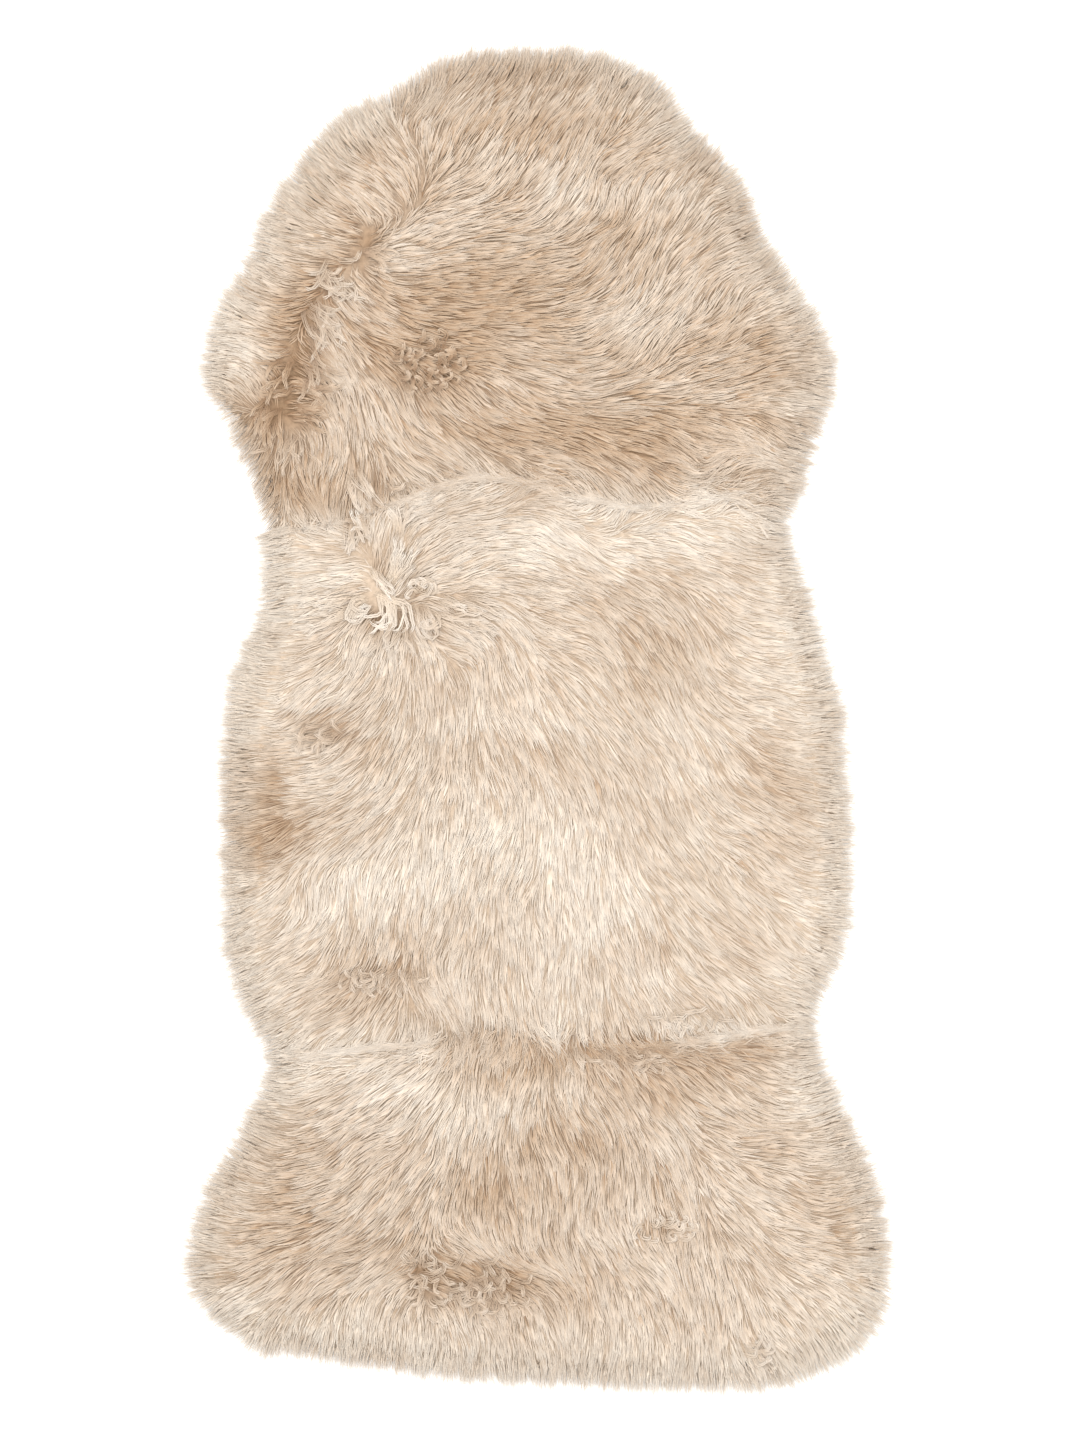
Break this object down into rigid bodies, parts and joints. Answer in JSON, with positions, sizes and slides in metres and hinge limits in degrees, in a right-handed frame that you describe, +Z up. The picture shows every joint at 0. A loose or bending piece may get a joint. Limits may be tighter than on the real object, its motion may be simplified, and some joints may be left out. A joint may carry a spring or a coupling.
{
  "type": "sheepskin rug",
  "caption": "Long sheepskin rug of woolled pelts sewn end to end: domed head end, bulging middle and flared tail end, with combed wool over a flat suede hide.",
  "frame": {"origin": "middle of the rug's footprint, on the floor that it lies on", "axes": "+X to the rug's right seen from above, +Y towards its domed head end, +Z up out of the wool"},
  "size_m": [0.7204, 1.3498, 0.0461],
  "materials": {
    "wool": "long combed cream wool with tan roots and soft sheen",
    "suede": "napped pale suede, matt"
  },
  "bodies": {
    "root": {"hide_head": "suede", "hide_middle": "suede", "hide_tail": "suede", "fleece_head": "wool", "fleece_middle": "wool", "fleece_tail": "wool"}
  },
  "joints": []
}
